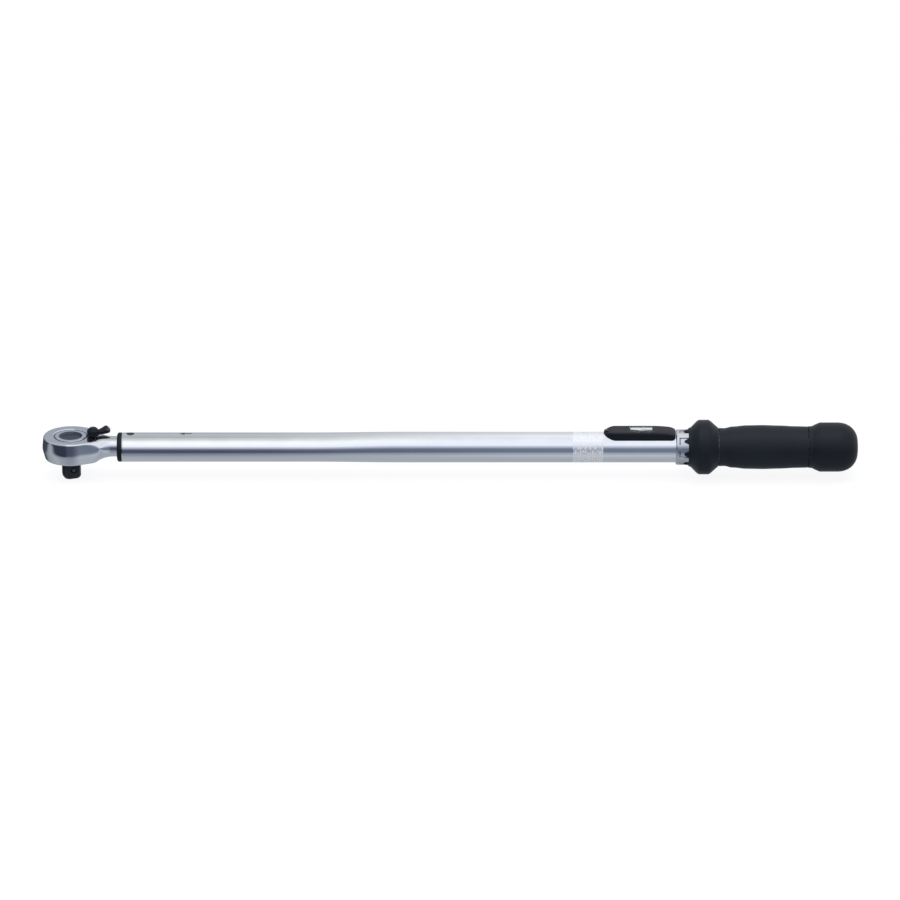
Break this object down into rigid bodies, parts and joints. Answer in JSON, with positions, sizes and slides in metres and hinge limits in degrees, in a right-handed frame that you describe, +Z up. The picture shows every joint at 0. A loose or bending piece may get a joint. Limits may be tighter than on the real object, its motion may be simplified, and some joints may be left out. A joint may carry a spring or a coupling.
{
  "type": "torque wrench",
  "caption": "Click-type torque wrench: reversible ratchet head with square drive, chromed oval tube, scale window, sliding lock ring and turning handle.",
  "frame": {"origin": "centre of the square drive's end face", "axes": "+X along the tube from the head to the handle, +Z up, against the direction the square drive points"},
  "size_m": [0.6396, 0.0446, 0.0461],
  "materials": {
    "polished_chrome": "bright chrome plate over polished steel",
    "ground_steel": "ground and oiled steel",
    "black_oxide_steel": "blackened hardened steel",
    "spring_steel": "oiled spring wire",
    "black_nylon": "fine-textured black moulded nylon",
    "grip_rubber": "satin black moulded rubber",
    "white_scale": "white printed scale plate",
    "clear_lens": "clear moulded lens",
    "bearing_bronze": "turned bearing bronze"
  },
  "bodies": {
    "tube": {"tube": "polished_chrome", "nose_ring": "black_nylon", "pivot_pin": "ground_steel", "main_spring": "spring_steel", "thrust_washer": "bearing_bronze", "end_plug": "ground_steel", "plug_screw_1": "ground_steel", "plug_screw_2": "ground_steel", "window_housing": "black_nylon", "window_lens": "clear_lens", "housing_screw": "ground_steel", "index_collar": "polished_chrome"},
    "head": {"head_forging": "polished_chrome", "cover_disc": "polished_chrome", "retaining_ring": "ground_steel"},
    "drive": {"drive_gear": "black_oxide_steel"},
    "socket_ball": {"socket_ball": "ground_steel"},
    "pawl": {"pawl": "ground_steel"},
    "lever": {"reverse_lever": "black_nylon", "pawl_pin": "ground_steel"},
    "plunger": {"plunger": "ground_steel"},
    "block": {"tilt_block": "ground_steel"},
    "handle": {"handle_core": "ground_steel", "grip": "grip_rubber", "end_cap": "black_nylon", "cap_screw": "ground_steel", "adjusting_screw": "ground_steel"},
    "lock_ring": {"lock_ring": "black_nylon"},
    "nut": {"running_nut": "bearing_bronze", "scale_carrier": "white_scale", "spring_seat": "ground_steel"}
  },
  "joints": [
    {"name": "head_tilt", "type": "hinge", "parent": "tube", "child": "head", "pos_m": [0.047, 0, 0.0246], "axis": [0, 0, 1], "range_deg": [0, 2], "stiffness_Nm_per_rad": 6, "springref_deg": -1.15},
    {"name": "plunger_slide", "type": "slide", "parent": "tube", "child": "plunger", "axis": [1, 0, 0], "range_m": [0, 0.0015], "deforming": ["main_spring"]},
    {"name": "block_tip", "type": "hinge", "parent": "plunger", "child": "block", "pos_m": [0.1565, 0, 0.0246], "axis": [0, 0, 1], "range_deg": [-10, 0]},
    {"name": "drive_spin", "type": "hinge", "parent": "head", "child": "drive", "pos_m": [0, 0, 0.0246], "axis": [0, 0, 1], "continuous": true},
    {"name": "socket_ball_press", "type": "slide", "parent": "drive", "child": "socket_ball", "axis": [-0.342, 0.9397, 0], "range_m": [0, 0.0009], "stiffness_N_per_m": 20, "springref_m": -0.001},
    {"name": "reverse_lever_turn", "type": "hinge", "parent": "head", "child": "lever", "pos_m": [0.0178, 0, 0.0246], "axis": [0, 0, 1], "range_deg": [-50, 0]},
    {"name": "pawl_shift", "type": "hinge", "parent": "head", "child": "pawl", "pos_m": [0, 0, 0.0246], "axis": [0, 0, 1], "range_deg": [-8, 0]},
    {"name": "handle_turn", "type": "hinge", "parent": "tube", "child": "handle", "pos_m": [0, 0, 0.0246], "axis": [1, 0, 0], "range_deg": [0, 1800]},
    {"name": "nut_slide", "type": "slide", "parent": "tube", "child": "nut", "axis": [-1, 0, 0], "range_m": [0, 0.015], "deforming": ["main_spring"]},
    {"name": "lock_ring_slide", "type": "slide", "parent": "handle", "child": "lock_ring", "axis": [-1, 0, 0], "range_m": [0, 0.003]}
  ],
  "couplings": [
    {"joint": "plunger_slide", "follows": "head_tilt", "m_per_rad": 0.042972},
    {"joint": "block_tip", "follows": "head_tilt", "ratio": -5},
    {"joint": "pawl_shift", "follows": "reverse_lever_turn", "ratio": 0.16},
    {"joint": "nut_slide", "follows": "handle_turn", "m_per_rad": 0.00047746}
  ]
}
